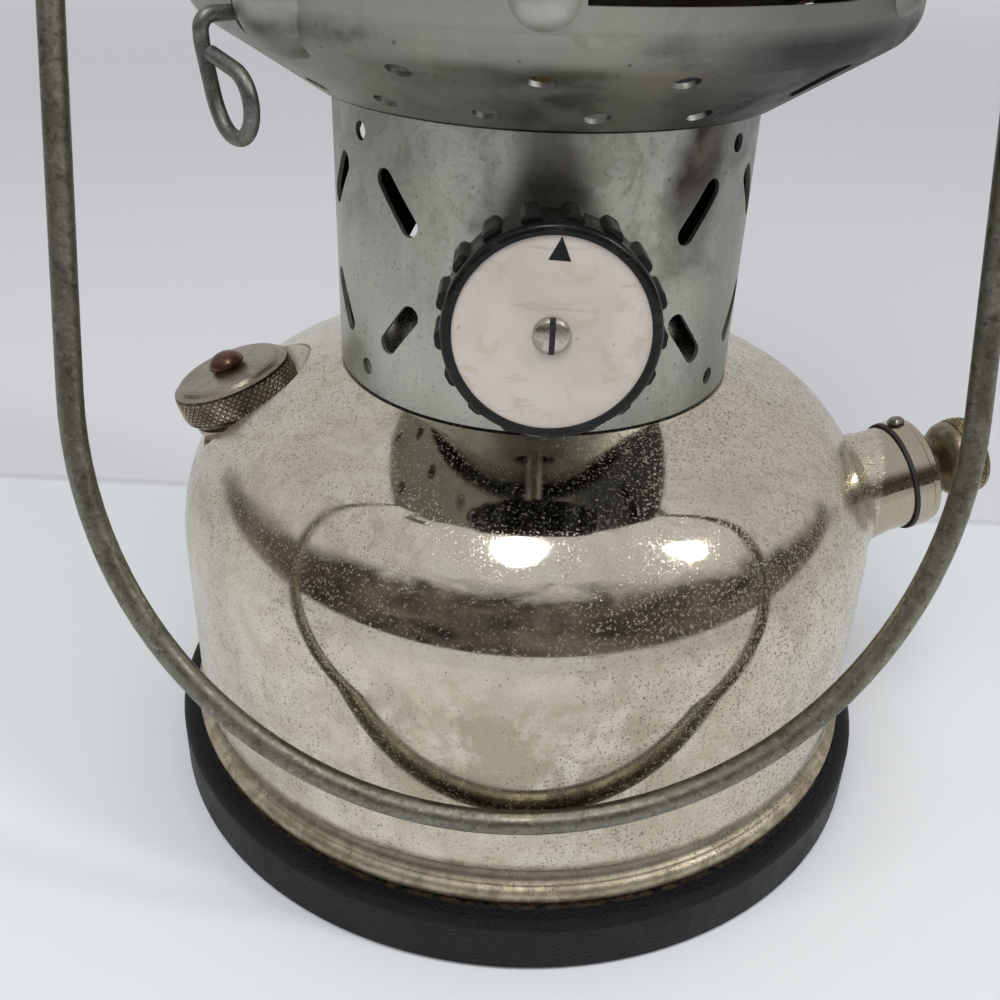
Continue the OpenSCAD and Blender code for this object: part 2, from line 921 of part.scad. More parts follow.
// Cast head that takes the generator's jet and the air and feeds both burners
module mixing_head() {
    color("#8f8a7c")
        difference() {
            union() {
                rotate([0, 90, 0])
                    translate([-head_z, 0, 0])
                        cylinder(r = head_r, h = 2 * spout_x, center = true);
                for (side = [-1, 1])
                    translate([side * spout_x, 0, 0]) {
                        translate([0, 0, head_z])
                            sphere(r = head_r);
                        rod(spout_r, spout_low, head_z);
                    }
                rod(head_r + 1, generator_top - 8, head_z + 10);
                translate([0, 0, head_z])
                    rotate([-90, 0, 0])
                        cylinder(r = air_r, h = air_y);
                translate([0, air_y, 0]) {
                    rod(air_r, head_z - 12, head_z);
                    translate([0, 0, head_z])
                        sphere(r = air_r);
                }
            }
            rod(generator_r + free_gap, generator_top - 9, generator_top + 0.5);
            for (side = [-1, 1])
                translate([side * spout_x, 0, 0])
                    rod(spout_r - 1.5, spout_low - 1, head_z);
            rod(stud_r + seat_gap, head_z, head_z + 11);
        }
}

// Burner caps, each with a groove for the mantle's string
module burner_caps() {
    color("#77736a")
        for (side = [-1, 1])
            translate([side * spout_x, 0, 0])
                turned([[0, burner_low], [burner_r, burner_low], [burner_r, burner_groove - 1],
                    [burner_r - 1, burner_groove - 0.6], [burner_r - 1, burner_groove + 0.6],
                    [burner_r, burner_groove + 1], [burner_r, spout_low + 3], [spout_r + seat_gap, spout_low + 3],
                    [spout_r + seat_gap, spout_low - 1], [burner_r - 2, burner_low + 1.2], [0, burner_low + 1.2]]);
}

// Mantles tied on the burner caps
module mantles() {
    neck = burner_r + 0.15;
    top = burner_groove + 2;
    belly = (top + mantle_low) / 2;
    outer = concat([[neck + mantle_t, top]],
        curve([neck + mantle_t, top - 3], [mantle_r, top - 10], [mantle_r, belly + 4], [mantle_r, belly - 4], 8),
        curve([mantle_r, belly - 6], [mantle_r, mantle_low + 8], [8, mantle_low], [0, mantle_low], 8));
    inner = [for (p = outer) [max(p[0] - mantle_t, 0), p[1] + (p[0] < 15 && p[1] < belly ? mantle_t : 0)]];
    color("#e8e4d8")
        for (side = [-1, 1])
            translate([side * spout_x, 0, 0])
                turned(concat(outer, reverse(inner)));
}

// Two straps on the dish's wall that carry the bail
module frame_posts() {
    color("#8f9694")
        for (side = [0, 180])
            rotate([0, 0, side])
                difference() {
                    intersection() {
                        union() {
                            pipe(post_r + post_t, post_r, post_low, post_top);
                            pipe(post_r + post_t, dish_r, post_low, post_low + post_foot);
                        }
                        rotate([90, 0, 90])
                            linear_extrude(height = post_r + 10) {
                                translate([-post_w / 2, post_low - 1])
                                    square([post_w, pivot_z - post_low + 1]);
                                translate([0, pivot_z])
                                    circle(d = post_w);
                            }
                    }
                    translate([0, 0, pivot_z])
                        rotate([0, 90, 0])
                            cylinder(r = wire_r + run_gap, h = post_r + 10);
                }
}

// Straight glass globe between the gallery and the ventilator, with fire-polished ends
module globe() {
    edge = globe_t / 2;
    mid = globe_r - edge;
    color("#dfe8e6", 0.4)
        rotate_extrude() {
            translate([globe_r - globe_t, globe_z + edge])
                square([globe_t, globe_h - globe_t]);
            slice([mid, globe_z + edge], edge, 180, 270);
            slice([mid, globe_z + edge], edge, 270, 360);
            slice([mid, globe_top - edge], edge, 0, 90);
            slice([mid, globe_top - edge], edge, 90, 180);
        }
}

// Slotted band that stands in the globe's mouth and carries the hood
module vent_band() {
    slot_l = band_top - globe_top - sheet_t - 2 * band_bridge;
    color("#8f9694")
        difference() {
            union() {
                pipe(band_r, band_r - sheet_t, band_low, band_top);
                pipe(globe_r + 1.5, band_r - sheet_t, globe_top, globe_top + sheet_t);
            }
            for (k = [0 : band_slots - 1])
                wall_cut((k + 0.5) * 360 / band_slots, band_r, (globe_top + sheet_t + band_top) / 2, 6)
                    slot_outline_up(band_slot_w, slot_l);
        }
}

// Spun hood with a rolled brim
module ventilator() {
    color("#8f9694")
        difference() {
            union() {
                intersection() {
                    translate([0, 0, hood_c])
                        sphere(r = hood_ball);
                    rod(hood_r + 5, hood_brim_z, hood_top + 5);
                }
                rotate_extrude()
                    translate([hood_r, hood_brim_z + hood_bead / 3])
                        circle(r = hood_bead, $fn = 24);
            }
            intersection() {
                translate([0, 0, hood_c])
                    sphere(r = hood_ball - sheet_t);
                rod(hood_r - hood_bead / 2, hood_brim_z - 5, hood_top + 5);
            }
            rod(stud_r + 0.3, hood_top - 5, hood_top + 5);
        }
}

// Stud on the mixing head that the ball nut grips
module center_stud() {
    color("#a39d8e")
        rod(stud_r, head_z + 2, stud_top);
}

module ball_nut() {
    color("#b9b4a6")
        difference() {
            union() {
                rod(6, hood_top, hood_top + 3);
                translate([0, 0, hood_top + 3 + ball_r * 0.85])
                    sphere(r = ball_r);
            }
            rod(stud_r + run_gap, hood_top - 1, stud_top + 0.4);
        }
}

// Bail of round wire, hanging in front with its bow against the fount
module bail() {
    color("#53554f")
        translate([bail_shift, 0, pivot_z])
            rotate([90 - bail_swing, 0, 0])
                for (side = [0, 1])
                    mirror([side, 0, 0])
                        bail_side();
}
// Half of the bail, drawn flat with the bow towards -Y
module bail_side() {
    side = bail_len - bail_half - bail_elbow;
    end = bail_half - bail_elbow - bail_in + 0.5;
    translate([0, -bail_len])
        wire_run(wire_r, [[bail_half, 90], [0, side], [bail_elbow, 90], [0, end]]);
    translate([bail_in - bail_head_t, 0, 0])
        rotate([0, 90, 0])
            cylinder(r = bail_head_r, h = bail_head_t, $fn = 32);
}

base_ring();
fount_bottom();
fount_shell();
filler_neck();
filler_cap();
filler_insert();
filler_gasket();
filler_screw();
pump_tube();
pump_seal();
pump_cap();
pump_cap_screws();
check_valve();
plunger_rod();
pump_leather();
pump_knob();
fuel_tube();
valve_body();
packing_nut();
valve_stem();
valve_knob();
direction_disc();
knob_screw();
collar();
dish();
dish_nut();
air_tube();
generator_nut();
cleaner_block();
generator();
cleaning_lever();
mixing_head();
burner_caps();
mantles();
frame_posts();
globe();
vent_band();
ventilator();
center_stud();
ball_nut();
bail();
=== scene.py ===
"""Looks of the gasoline lantern: materials, knurling, mantles and studio, in the part's own frame."""
import json
import math
import random

import bmesh
import bpy
from mathutils import Matrix, Vector

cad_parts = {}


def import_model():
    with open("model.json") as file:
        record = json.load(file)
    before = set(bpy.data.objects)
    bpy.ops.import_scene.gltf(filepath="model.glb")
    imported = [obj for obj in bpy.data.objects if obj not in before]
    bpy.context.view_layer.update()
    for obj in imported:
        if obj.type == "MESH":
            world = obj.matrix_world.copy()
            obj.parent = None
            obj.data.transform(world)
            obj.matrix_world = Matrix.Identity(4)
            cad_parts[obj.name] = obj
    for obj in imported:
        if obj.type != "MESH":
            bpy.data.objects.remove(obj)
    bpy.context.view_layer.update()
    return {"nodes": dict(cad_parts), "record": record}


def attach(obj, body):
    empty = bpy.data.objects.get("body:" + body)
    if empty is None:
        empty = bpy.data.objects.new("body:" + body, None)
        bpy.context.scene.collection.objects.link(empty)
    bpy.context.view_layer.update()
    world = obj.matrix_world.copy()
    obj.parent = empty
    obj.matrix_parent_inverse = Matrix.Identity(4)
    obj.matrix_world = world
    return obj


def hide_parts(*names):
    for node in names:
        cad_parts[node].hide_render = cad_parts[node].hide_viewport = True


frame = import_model()
MM = 0.001

# Sizes repeated from the part, in millimetres and degrees
TANK_R = 82.5
SEAT_Z = 105.1
DISH_Z = 164.6
LOW_BEND_Z = 63.76
LOW_BEND_R = 37.95
TOP_BEND_Z = 73.54
TOP_BEND_R = 25.0
BEND_TURN = 49.0
CONE_TURN = 64.9
CURL_R = 2.4
BEAD_AT = (81.7, 16.9)
GROOVE_AT = (83.4, 21.8)
FILLER_TILT = 19.2
FILLER_AT = (-67.4, 0.0, 87.1)
CAP_R = 14.0
CAP_LOW = 3.3
CAP_TOP = 9.9
PUMP_TURN = 12.6
PUMP_TILT = 13.0
PUMP_ALONG = 86.76
PUMP_OFFSET = 21.2
PUMP_Z = 74.7
PUMP_KNOB_R = 9.3
PUMP_KNOB_BAND = (16.1, 19.9)
KNOB_TILT = 3.7
KNOB_ROOT_Z = 131.1
DISC_FACE = 66.1
DISC_R = 17.05
MANTLE_X = 23.0
MANTLE_R = 17.0
MANTLE_LOW = 205.0
MANTLE_TOP = 251.0
MANTLE_NECK_R = 9.15

# Where wear, painted light and painted shade begin and are full, in millimetres, or in degrees of bearing
# from the front.
# Three numbers are a middle, the half width round it and the soft edge beyond that.
OUTSIDE_R = (TANK_R + 1.0, TANK_R + 2.0)
SHOULDER_END_R = (TANK_R + 0.6, TANK_R + 0.2)
CURL_EDGE = (CURL_R, 0.15, 0.1)
BEAD_Z = (26.2, 24.6)
GROOVE_Z = (22.2, 1.6, 1.4)
FOOT_Z = (17.6, 15.2)
FROST_MIDDLE = 2.0
FROST_SIDE = (34, 66)
PLATE_RIGHT = (6, 36)
TARNISH_Z = (52.0, 10.0, 14.0)
TARNISH_TURN = (0, 14, 22)
COLLAR_R = (45.5, 45.0)
COLLAR_HIGH_Z = (132.0, 154.0)
COLLAR_LOW_Z = (130.0, 118.0)
COLLAR_TOP_JOINT = (DISH_Z - 1.0, DISH_Z - 0.7)
COLLAR_LOW_JOINT = (SEAT_Z + 0.5, SEAT_Z + 0.3)
COLLAR_FRONT_STRIPE = (0, 4, 8)
COLLAR_RIGHT_STRIPE = (39, 5, 7)
COLLAR_BRIGHT = (-32, 16, 14)
COLLAR_LEFT = (-26, -40)
COLLAR_LEFT_END = (-170, -120)
COLLAR_RIGHT = (38, 52)
DISH_WALL_Z = (181.5, 184.5)
DISH_FOOT_Z = (DISH_Z + 0.55, DISH_Z + 0.35)
DISH_RIGHT = (6, 30)
BACK_FADE = (175, 125)
RING_SEAM_R = (84.2, 82.9)
RING_SEAM_Z = (12.5, 13.8)
SLOT_ALONG = (66.95, 0.3, 0.1)
SLOT_ACROSS = (0.0, 0.5, 0.06)
PUMP_SIDE_X = (30.0, 40.0)

# How closely a face looks along a smooth normal before it takes it, as cosines
SHOULDER_MATCH = (0.985, 0.997)
CURL_MATCH = (0.7, 0.85)

# Colours used in more than one place, and the factors that yellow one
# Dark colour of painted shade and dirt in the gaps between parts and in the screw slot
JOINT_SHADE_AND_DIRT = (0.012, 0.010, 0.008)
BACKDROP = (0.66, 0.67, 0.69)
BACKDROP_SEEN = (0.575, 0.582, 0.60)
YELLOWING = (1.08, 1.02, 0.84)


# Meshes

def make(name, verts, faces, material, body, smooth=True):
    """A mesh piece with its vertices in metres, riding on a body."""
    mesh = bpy.data.meshes.new(name)
    mesh.from_pydata([tuple(v) for v in verts], [], faces)
    bm = bmesh.new()
    bm.from_mesh(mesh)
    bmesh.ops.recalc_face_normals(bm, faces=bm.faces)
    bm.to_mesh(mesh)
    bm.free()
    mesh.polygons.foreach_set("use_smooth", [smooth] * len(mesh.polygons))
    mesh.update()
    piece = bpy.data.objects.new(name, mesh)
    bpy.context.scene.collection.objects.link(piece)
    piece.data.materials.append(material)
    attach(piece, body)
    return piece


def filler_matrix():
    """The filler cap's own frame, with its axis as Z."""
    place = Matrix.Translation(Vector(FILLER_AT) * MM)
    return place @ Matrix.Rotation(math.radians(-FILLER_TILT), 4, "Y")


def pump_matrix():
    """The pump's own frame, with Z outwards along the plunger."""
    turn = Matrix.Rotation(math.radians(PUMP_TURN), 4, "Z")
    place = Matrix.Translation(Vector((PUMP_ALONG, -PUMP_OFFSET, PUMP_Z)) * MM)
    return turn @ place @ Matrix.Rotation(math.radians(90 - PUMP_TILT), 4, "Y")


def knob_matrix():
    """The valve knob's own frame, with Z outwards along the stem."""
    place = Matrix.Translation(Vector((0, 0, KNOB_ROOT_Z)) * MM)
    return place @ Matrix.Rotation(math.radians(90 - KNOB_TILT), 4, "X")


def knurl(name, matrix, radius, low, high, starts, depth, material, body, slot):
    """A diamond-knurled band, with its grooves on the grid's own lines and its ridges kept for the paint."""
    steps = 4
    fade_rows = 3
    lift = 0.02
    pitch = 2 * math.pi * radius / starts
    rows = max(2, round((high - low) / pitch * steps))
    columns = starts * steps
    verts, faces, ridges = [], [], []
    for j in range(rows + 1):
        w = j / steps
        z = low + (high - low) * j / rows
        edge = min(1.0, j / fade_rows, (rows - j) / fade_rows)
        for i in range(columns):
            u = i / steps
            groove = max(abs((u + w) % 1 - 0.5), abs((u - w) % 1 - 0.5))
            ridge = (1 - 2 * groove) * edge
            r = radius + lift + depth * ridge
            a = 2 * math.pi * i / columns
            verts.append(matrix @ (Vector((r * math.cos(a), r * math.sin(a), z)) * MM))
            ridges.append(ridge)
    for j in range(rows):
        for i in range(columns):
            k = (i + 1) % columns
            a, b = j * columns + i, j * columns + k
            c, d = (j + 1) * columns + k, (j + 1) * columns + i
            if (i + j) % 2:
                faces += [(a, b, c), (a, c, d)]
            else:
                faces += [(a, b, d), (b, c, d)]
    piece = make(name, verts, faces, material, body, smooth=False)
    piece.data.attributes.new("ridge", "FLOAT", "POINT").data.foreach_set("value", ridges)


# Materials

def toned(colour, factor, lift=0.0):
    """A colour made lighter or darker."""
    return tuple(min(1.0, c * factor + lift) for c in colour)


class Paint:
    """A node material built up from a few procedural layers."""

    def __init__(self, name):
        self.material = bpy.data.materials.new(name)
        self.material.use_nodes = True
        self.tree = self.material.node_tree
        self.shader = self.tree.nodes["Principled BSDF"]
        place = self.tree.nodes.new("ShaderNodeTexCoord")
        self.coords = place.outputs["Object"]
        self.normal = place.outputs["Normal"]

    def link(self, a, b):
        self.tree.links.new(a, b)

    def feed(self, socket, value):
        if isinstance(value, bpy.types.NodeSocket):
            self.link(value, socket)
        else:
            socket.default_value = value

    def feed_colour(self, socket, colour):
        self.feed(socket, colour if isinstance(colour, bpy.types.NodeSocket) else (*colour, 1))

    # Arithmetic

    def math(self, kind, a, b=0.0, clamp=False):
        node = self.tree.nodes.new("ShaderNodeMath")
        node.operation = kind
        node.use_clamp = clamp
        self.feed(node.inputs[0], a)
        self.feed(node.inputs[1], b)
        return node.outputs["Value"]

    def times(self, a, b):
        return self.math("MULTIPLY", a, b)

    def plus(self, a, b, clamp=False):
        return self.math("ADD", a, b, clamp)

    def minus(self, a, b):
        return self.math("SUBTRACT", a, b)

    def most(self, a, b):
        return self.math("MAXIMUM", a, b)

    def length(self, a, b):
        return self.math("SQRT", self.plus(self.times(a, a), self.times(b, b)))

    def vector_math(self, kind, a, b=None):
        node = self.tree.nodes.new("ShaderNodeVectorMath")
        node.operation = kind
        self.link(a, node.inputs[0])
        if b is not None:
            self.link(b, node.inputs[1])
        return node.outputs["Value" if kind == "DOT_PRODUCT" else "Vector"]

    def span(self, value, low, high, to_low=0.0, to_high=1.0):
        """A value mapped from one range to another, and held at the ends."""
        node = self.tree.nodes.new("ShaderNodeMapRange")
        node.inputs["From Min"].default_value = low
        node.inputs["From Max"].default_value = high
        node.inputs["To Min"].default_value = to_low
        node.inputs["To Max"].default_value = to_high
        self.feed(node.inputs["Value"], value)
        return node.outputs["Result"]

    def between(self, value, ends, to_low=0.0, to_high=1.0):
        """Like span, from two places in millimetres."""
        return self.span(value, ends[0] * MM, ends[1] * MM, to_low, to_high)

    def band(self, value, middle, half, soft):
        """1 within a band of a coordinate, fading to 0 outside it."""
        return self.span(self.math("ABSOLUTE", self.minus(value, middle)), half + soft, half)

    def strip(self, value, place):
        """Like band, with its numbers in millimetres."""
        return self.band(value, *(number * MM for number in place))

    # Colours

    def mix(self, factor, a, b):
        node = self.tree.nodes.new("ShaderNodeMix")
        node.data_type = "RGBA"
        self.feed(node.inputs["Factor"], factor)
        self.feed_colour(node.inputs["A"], a)
        self.feed_colour(node.inputs["B"], b)
        return node.outputs["Result"]

    def lay(self, tone, mask, amount, colour):
        """A colour laid over another where a mask is, by an amount."""
        return self.mix(self.times(mask, amount), tone, colour)

    # Patterns

    def stretched(self, scale):
        node = self.tree.nodes.new("ShaderNodeMapping")
        node.inputs["Scale"].default_value = scale
        self.link(self.coords, node.inputs["Vector"])
        return node.outputs["Vector"]

    def noise(self, scale, detail=4.0, rough=0.55, distortion=0.0, vector=None):
        node = self.tree.nodes.new("ShaderNodeTexNoise")
        self.link(vector or self.coords, node.inputs["Vector"])
        node.inputs["Scale"].default_value = scale
        node.inputs["Detail"].default_value = detail
        node.inputs["Roughness"].default_value = rough
        node.inputs["Distortion"].default_value = distortion
        return node.outputs["Fac"]

    def blotches(self, low, high, *noise, vector=None):
        """Noise cut to patches, 0 at one level and 1 at another; the other numbers are the noise's own."""
        return self.span(self.noise(*noise, vector=vector), low, high)

    def cells(self, scale):
        """Distance to the nearest point of a scatter, and a random value for each point."""
        node = self.tree.nodes.new("ShaderNodeTexVoronoi")
        self.link(self.coords, node.inputs["Vector"])
        node.inputs["Scale"].default_value = scale
        return node.outputs["Distance"], node.outputs["Color"]

    def specks(self, scale, size, share):
        """Scattered spots: size is a spot's radius as a share of a cell, share how many cells have one."""
        distance, chance = self.cells(scale)
        chosen = self.span(chance, share, share - 0.02)
        return self.times(self.span(distance, size, size * 0.6), chosen)

    def attribute(self, name):
        """A value kept on the mesh's points."""
        node = self.tree.nodes.new("ShaderNodeAttribute")
        node.attribute_name = name
        return node.outputs["Fac"]

    # Places on the lantern

    def axis(self, name):
        node = self.tree.nodes.new("ShaderNodeSeparateXYZ")
        self.link(self.coords, node.inputs["Vector"])
        return node.outputs[name]

    def radius(self):
        return self.length(self.axis("X"), self.axis("Y"))

    def bearing(self):
        """Degrees from the front, counted towards the right."""
        back = self.times(self.axis("Y"), -1.0)
        return self.math("DEGREES", self.math("ARCTAN2", self.axis("X"), back))

    def right_of(self, low, high):
        """1 round the right side from one bearing to another, fading out again towards the back."""
        return self.times(self.span(self.bearing(), low, high), self.span(self.bearing(), *BACK_FADE))

    # Directions

    def upright(self, lean):
        """Direction that leans up from the outward one by an angle."""
        node = self.tree.nodes.new("ShaderNodeCombineXYZ")
        out = self.math("DIVIDE", self.math("COSINE", lean), self.radius())
        self.link(self.times(self.axis("X"), out), node.inputs["X"])
        self.link(self.times(self.axis("Y"), out), node.inputs["Y"])
        self.link(self.math("SINE", lean), node.inputs["Z"])
        return node.outputs["Vector"]

    def facing(self, lean):
        """How far a face looks along that direction, from -1 to 1."""
        return self.vector_math("DOT_PRODUCT", self.upright(lean), self.normal)

    def blend(self, factor, a, b):
        """Direction between two others."""
        node = self.tree.nodes.new("ShaderNodeMix")
        node.data_type = "VECTOR"
        self.link(factor, node.inputs["Factor"])
        self.link(a, [i for i in node.inputs if i.name == "A" and i.type == "VECTOR"][0])
        self.link(b, [i for i in node.inputs if i.name == "B" and i.type == "VECTOR"][0])
        return self.vector_math("NORMALIZE", [o for o in node.outputs if o.type == "VECTOR"][0])

    def shoulder(self):
        """Smooth normal over the narrow rings that the fount's shoulder is built of."""
        bend = math.sin(math.radians(BEND_TURN))
        cone = math.sin(math.radians(CONE_TURN))
        low_ends = (LOW_BEND_Z, LOW_BEND_Z + LOW_BEND_R * bend)
        top_ends = (TOP_BEND_Z + TOP_BEND_R * bend, TOP_BEND_Z + TOP_BEND_R * cone)
        low = self.math("ARCSINE", self.between(self.axis("Z"), low_ends, 0.0, bend))
        top = self.math("ARCSINE", self.between(self.axis("Z"), top_ends, bend, cone))
        smooth = self.upright(self.minus(self.plus(low, top), math.radians(BEND_TURN)))
        near = self.span(self.vector_math("DOT_PRODUCT", smooth, self.normal), *SHOULDER_MATCH)
        near = self.times(near, self.between(self.radius(), SHOULDER_END_R))
        return self.blend(near, self.normal, smooth)

    def curl(self, normal, at, side):
        """Smooth normal over a rolled bead, or with side -1 over a groove."""
        out = self.times(self.minus(self.radius(), at[0] * MM), side)
        rise = self.times(self.minus(self.axis("Z"), at[1] * MM), side)
        smooth = self.upright(self.math("ARCTAN2", rise, out))
        near = self.strip(self.length(out, rise), CURL_EDGE)
        near = self.times(near, self.span(self.vector_math("DOT_PRODUCT", smooth, normal), *CURL_MATCH))
        return self.blend(near, normal, smooth)

    # The shader

    def bump(self, height, distance, strength, normal=None):
        node = self.tree.nodes.new("ShaderNodeBump")
        node.inputs["Strength"].default_value = strength
        node.inputs["Distance"].default_value = distance
        self.link(height, node.inputs["Height"])
        if normal is not None:
            self.link(normal, node.inputs["Normal"])
        self.link(node.outputs["Normal"], self.shader.inputs["Normal"])

    def set(self, colour, rough, metallic, **others):
        """The finished material."""
        self.feed_colour(self.shader.inputs["Base Color"], colour)
        self.feed(self.shader.inputs["Roughness"], rough)
        self.feed(self.shader.inputs["Metallic"], metallic)
        for key, value in others.items():
            self.feed(self.shader.inputs[key.replace("_", " ")], value)
        return self.material


def plate_frost(p, patch, outside):
    """Frosting that grows towards the sides, and is weak on what stands out of the fount."""
    side = p.span(p.math("ABSOLUTE", p.minus(p.bearing(), FROST_MIDDLE)), *FROST_SIDE)
    frost = p.plus(p.times(side, 0.75), p.times(patch, 0.3), clamp=True)
    return p.times(frost, p.span(outside, 0.0, 1.0, 1.0, 0.15))


def plate_pits(p, right, crowd, outside, pits):
    """Ragged pits and round ones, crowded in patches and on the right."""
    ragged = p.plus(p.noise(1500, 3, 0.75, 0.3), p.times(right, 0.035))
    pit = p.span(ragged, 0.625 - 0.03 * pits, 0.645 - 0.03 * pits)
    pit = p.times(p.most(pit, p.specks(1250, 0.27, pits)), crowd)
    pit = p.most(pit, p.specks(640, 0.15, pits * 0.7))
    return p.times(pit, p.span(outside, 0.0, 1.0, 1.0, 0.2))


def nickel(name, tint, dull, stain, pits=0.5):
    """Old nickel plate: a mirror in front, frosted at the sides, peppered with pits, grimy low down."""
    p = Paint(name)
    z = p.axis("Z")
    outside = p.between(p.radius(), OUTSIDE_R)
    bead = p.between(z, BEAD_Z)
    foot = p.between(z, FOOT_Z)
    right = p.right_of(*PLATE_RIGHT)
    patch = p.blotches(0.48, 0.60, 55, 7, 0.68, 0.8)
    crowd = p.span(p.noise(30, 5, 0.65, 0.5), 0.44, 0.56, 0.25, 1.0)
    crowd = p.most(crowd, p.times(right, 0.9))
    frost = plate_frost(p, patch, outside)
    pit = plate_pits(p, right, crowd, outside, pits)

    streak = p.blotches(0.53, 0.62, 420, 4, 0.7, vector=p.stretched((0.5, 1.0, 0.22)))
    streak = p.times(streak, p.times(right, crowd))
    front = p.times(p.band(p.bearing(), *TARNISH_TURN), p.strip(z, TARNISH_Z))
    tarnish = p.times(p.blotches(0.42, 0.56, 75, 6, 0.66, 0.5), front)
    mark = p.times(p.blotches(0.53, 0.60, 210, 6, 0.72, 0.7), crowd)
    fine = p.times(p.blotches(0.56, 0.40, 2600, 2, 0.6), p.span(frost, 0.0, 0.8, 0.12, 0.4))
    worn = p.blotches(0.42, 0.58, 160, 6, 0.7, 0.6)
    low = p.times(foot, p.blotches(0.42, 0.54, 420, 5, 0.7))
    fleck = p.times(foot, p.specks(900, 0.3, 0.35))

    tone = p.mix(p.blotches(0.4, 0.6, 18, 5, 0.6, 0.4), tint, toned(tint, 0.92))
    tone = p.lay(tone, patch, 0.45, stain)
    tone = p.lay(tone, tarnish, 0.85, toned(stain, 0.75))
    tone = p.lay(tone, p.most(mark, streak), 0.45, toned(stain, 0.75))
    tone = p.mix(fine, tone, toned(stain, 0.6))
    tone = p.lay(tone, outside, 0.8, toned(stain, 0.62))
    tone = p.lay(tone, right, 0.35, stain)
    tone = p.lay(tone, bead, 0.75, p.mix(worn, (0.30, 0.24, 0.155), (0.60, 0.52, 0.375)))
    # Painted dark reflection and shade in the groove above the bead
    tone = p.lay(tone, p.strip(z, GROOVE_Z), 0.55, (0.15, 0.135, 0.115))
    tone = p.lay(tone, pit, 0.85, (0.15, 0.125, 0.095))
    tone = p.lay(tone, low, 0.95, (0.045, 0.032, 0.018))
    tone = p.lay(tone, fleck, 0.8, (0.50, 0.36, 0.15))

    rough = p.plus(p.times(frost, 0.2), dull)
    rough = p.plus(rough, p.times(p.most(tarnish, streak), 0.08))
    rough = p.plus(rough, p.times(bead, 0.40))
    rough = p.plus(rough, p.times(p.most(pit, low), 0.45), clamp=True)
    grain = p.times(p.noise(1700, 2, 0.6), p.times(frost, 0.7))
    smooth = p.curl(p.curl(p.shoulder(), BEAD_AT, 1.0), GROOVE_AT, -1.0)
    p.bump(p.minus(grain, pit), 0.03 * MM, 0.4, smooth)
    return p.set(tone, rough, p.span(pit, 0.0, 1.0, 1.0, 0.35))


def zinc(name, tint, dull, grime, spots=0.25, wear_and_shade=None, metal=1.0):
    """Zinc-plated metal: mottled grey with pale bloom, scuffs and dark spots, and a piece's own wear and
    painted light and shade.
    """
    p = Paint(name)
    cloud = p.blotches(0.38, 0.62, 22, 4, 0.6, 0.3)
    yellow = p.blotches(0.46, 0.58, 48, 5, 0.65, 0.5)
    bloom = p.blotches(0.46, 0.60, 70, 7, 0.7, 0.6)
    scuff = p.blotches(0.54, 0.66, 260, 3, 0.6, vector=p.stretched((1.0, 1.0, 0.12)))
    dirt = p.times(p.blotches(0.54, 0.66, 38, 6, 0.7, 0.3), 0.45)
    tone = p.mix(cloud, toned(tint, 0.82), tint)
    tone = p.lay(tone, yellow, 0.5, tuple(c * y for c, y in zip(tint, YELLOWING)))
    tone = p.lay(tone, bloom, 0.4, toned(tint, 1.25, 0.02))
    tone = p.lay(tone, scuff, 0.15, toned(tint, 1.5))
    tone = p.lay(tone, p.specks(520, 0.22, spots), 0.6, grime)
    tone = p.mix(dirt, tone, grime)
    # A piece's own wear, and on the collar and dish painted light and shade as well
    if wear_and_shade:
        tone = wear_and_shade(p, tone)
    rough = p.plus(p.times(bloom, 0.16), dull)
    rough = p.plus(rough, p.times(dirt, 0.25), clamp=True)
    p.bump(p.plus(p.times(p.noise(14, 2), 0.7), p.times(bloom, 0.04)), 0.3 * MM, 0.25)
    return p.set(tone, rough, metal)


def collar_wear_and_shade(p, tone):
    """Painted dark reflections in stripes up the front and right, painted light low on the left, painted
    shade on the sides, stains, specks, painted shadow and dirt at the joints at the ends and painted shade
    on the inside.
    """
    z = p.axis("Z")
    near = p.between(p.radius(), COLLAR_R)
    high = p.between(z, COLLAR_HIGH_Z, 0.1, 1.0)
    turn = p.plus(p.bearing(), p.span(p.noise(60, 4, 0.6), 0.2, 0.8, -5.0, 5.0))
    # Painted dark reflections of the room in front, in stripes up the front and right, stronger higher up
    stripe = p.times(p.band(turn, *COLLAR_FRONT_STRIPE), 0.7)
    stripe = p.most(stripe, p.band(turn, *COLLAR_RIGHT_STRIPE))
    tone = p.lay(tone, stripe, high, (0.06, 0.046, 0.036))
    brown = p.times(p.blotches(0.51, 0.60, 85, 6, 0.7, 0.3), high)
    tone = p.lay(tone, brown, 0.45, (0.20, 0.175, 0.13))
    # Painted light, low on the left front
    bright = p.times(p.band(turn, *COLLAR_BRIGHT), p.between(z, COLLAR_LOW_Z))
    tone = p.lay(tone, bright, 0.5, (0.62, 0.64, 0.58))
    # Painted shade round the right side and high on the left
    left = p.times(p.span(turn, *COLLAR_LEFT), p.span(turn, *COLLAR_LEFT_END))
    shaded = p.most(p.right_of(*COLLAR_RIGHT), p.times(left, high))
    tone = p.lay(tone, shaded, 0.55, (0.17, 0.175, 0.16))
    specks = p.most(p.specks(1100, 0.2, 0.36), p.blotches(0.60, 0.63, 1100, 4, 0.75))
    tone = p.lay(tone, specks, 0.5, (0.11, 0.10, 0.08))
    # Painted shadow and dirt in the joints at the collar's top and foot
    joint = p.most(p.between(z, COLLAR_TOP_JOINT), p.between(z, COLLAR_LOW_JOINT))
    tone = p.lay(tone, joint, near, JOINT_SHADE_AND_DIRT)
    # Painted shade on the collar's inside
    inside = p.span(p.facing(0.0), -0.2, -0.6)
    return p.lay(tone, inside, near, (0.016, 0.014, 0.012))


